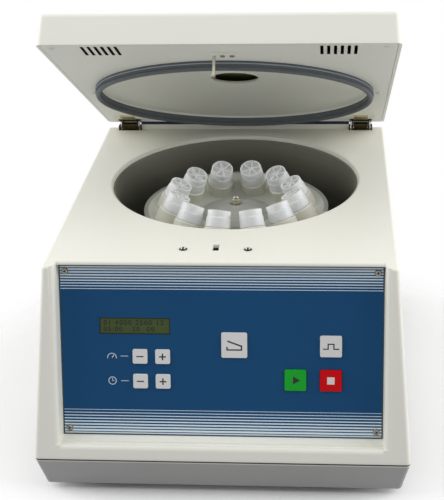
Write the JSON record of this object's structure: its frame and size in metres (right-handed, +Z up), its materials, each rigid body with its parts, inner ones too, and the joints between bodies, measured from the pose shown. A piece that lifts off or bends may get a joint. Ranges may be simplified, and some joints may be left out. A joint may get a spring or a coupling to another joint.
{
  "type": "laboratory centrifuge",
  "caption": "Bench-top laboratory centrifuge with a hinged lid, an angle rotor with capped tubes in a steel bowl, and a sloping blue panel with display and push keys.",
  "frame": {"origin": "on the bench under the middle of the box round the machine with its lid open", "axes": "+Z up along the rotor axis, +Y from the control panel to the back, +X to the right of a person at the panel"},
  "size_m": [0.359, 0.4472, 0.4425],
  "materials": {
    "housing_cream": "satin",
    "lid_grey_cream": "satin",
    "pan_grey": "matte",
    "foot_rubber": "matte",
    "seal_rubber": "matte",
    "panel_blue": "satin",
    "rear_plate_paint": "satin",
    "zinc_steel": "satin",
    "bowl_steel": "satin",
    "screw_nickel": "polished",
    "rotor_aluminium": "satin",
    "nut_brass": "satin",
    "hinge_brass": "satin",
    "sleeve_beige": "satin",
    "tube_clear": "gloss",
    "cap_white": "satin",
    "display_green": "gloss",
    "board_green": "satin",
    "black_plastic": "satin",
    "key_grey": "satin",
    "key_green": "satin",
    "key_red": "satin",
    "winding_copper": "matte",
    "dark_steel": "satin"
  },
  "bodies": {
    "body": {"base_pan": "pan_grey", "rubber_feet": "foot_rubber", "main_housing": "housing_cream", "housing_screws": "screw_nickel", "rear_plate": "rear_plate_paint", "rear_screws": "screw_nickel", "power_inlet": "black_plastic", "inlet_pins": "hinge_brass", "fuse_holders": "black_plastic", "switch_frame": "black_plastic", "support_frame": "zinc_steel", "chamber_bowl": "bowl_steel", "guard_ring": "zinc_steel", "motor_bracket": "zinc_steel", "vibration_dampers": "foot_rubber", "motor_can": "dark_steel", "motor_end_bell": "rotor_aluminium", "motor_stator": "winding_copper", "motor_bearings": "zinc_steel", "shaft_boot": "foot_rubber", "power_board": "board_green", "transformer": "dark_steel", "control_panel": "panel_blue", "panel_screws": "screw_nickel", "display_window": "display_green", "display_module": "black_plastic", "control_board": "board_green", "board_standoffs": "zinc_steel", "key_switches": "black_plastic", "lock_body": "dark_steel", "lock_screws": "screw_nickel", "lock_solenoid": "winding_copper", "hinge_brackets": "hinge_brass", "hinge_pins": "zinc_steel"},
    "lid": {"hinge_leaves": "zinc_steel", "lid_shell": "housing_cream", "lid_inner_plate": "lid_grey_cream", "lid_dish": "lid_grey_cream", "lid_seal": "seal_rubber", "lid_screws": "screw_nickel", "striker_plate": "zinc_steel", "striker_hook": "screw_nickel"},
    "rotor": {"motor_shaft": "zinc_steel", "motor_armature": "dark_steel", "rotor_head": "rotor_aluminium", "rotor_washer": "screw_nickel", "rotor_nut": "nut_brass", "tube_sleeves": "sleeve_beige", "sample_tubes": "tube_clear", "tube_caps": "cap_white"},
    "speed_down_key": {"speed_down_key": "key_grey"},
    "speed_up_key": {"speed_up_key": "key_grey"},
    "time_down_key": {"time_down_key": "key_grey"},
    "time_up_key": {"time_up_key": "key_grey"},
    "lid_release_key": {"lid_release_key": "key_grey"},
    "pulse_key": {"pulse_key": "key_grey"},
    "start_key": {"start_key": "key_green"},
    "stop_key": {"stop_key": "key_red"},
    "lock_bolt": {"lock_bolt": "zinc_steel"},
    "power_rocker": {"power_rocker": "black_plastic"}
  },
  "joints": [
    {"name": "lid_hinge", "type": "hinge", "parent": "body", "child": "lid", "pos_m": [0, 0.20257, 0.2295], "axis": [1, 0, 0], "range_deg": [-45, 30]},
    {"name": "rotor_spin", "type": "hinge", "parent": "body", "child": "rotor", "pos_m": [0, 0.04307, 0.1], "axis": [0, 0, 1], "continuous": true},
    {"name": "speed_down_key_press", "type": "slide", "parent": "body", "child": "speed_down_key", "axis": [0, 0.9659, -0.2588], "range_m": [0, 0.001], "stiffness_N_per_m": 800, "springref_m": -0.0008},
    {"name": "speed_up_key_press", "type": "slide", "parent": "body", "child": "speed_up_key", "axis": [0, 0.9659, -0.2588], "range_m": [0, 0.001], "stiffness_N_per_m": 800, "springref_m": -0.0008},
    {"name": "time_down_key_press", "type": "slide", "parent": "body", "child": "time_down_key", "axis": [0, 0.9659, -0.2588], "range_m": [0, 0.001], "stiffness_N_per_m": 800, "springref_m": -0.0008},
    {"name": "time_up_key_press", "type": "slide", "parent": "body", "child": "time_up_key", "axis": [0, 0.9659, -0.2588], "range_m": [0, 0.001], "stiffness_N_per_m": 800, "springref_m": -0.0008},
    {"name": "lid_release_key_press", "type": "slide", "parent": "body", "child": "lid_release_key", "axis": [0, 0.9659, -0.2588], "range_m": [0, 0.001], "stiffness_N_per_m": 800, "springref_m": -0.0008},
    {"name": "pulse_key_press", "type": "slide", "parent": "body", "child": "pulse_key", "axis": [0, 0.9659, -0.2588], "range_m": [0, 0.001], "stiffness_N_per_m": 800, "springref_m": -0.0008},
    {"name": "start_key_press", "type": "slide", "parent": "body", "child": "start_key", "axis": [0, 0.9659, -0.2588], "range_m": [0, 0.001], "stiffness_N_per_m": 800, "springref_m": -0.0008},
    {"name": "stop_key_press", "type": "slide", "parent": "body", "child": "stop_key", "axis": [0, 0.9659, -0.2588], "range_m": [0, 0.001], "stiffness_N_per_m": 800, "springref_m": -0.0008},
    {"name": "lock_bolt_slide", "type": "slide", "parent": "body", "child": "lock_bolt", "axis": [-1, 0, 0], "range_m": [0, 0.006], "stiffness_N_per_m": 200, "springref_m": -0.003},
    {"name": "power_rocker_tilt", "type": "hinge", "parent": "body", "child": "power_rocker", "pos_m": [0.096, 0.21007, 0.135], "axis": [0, 0, 1], "range_deg": [0, 20]}
  ]
}
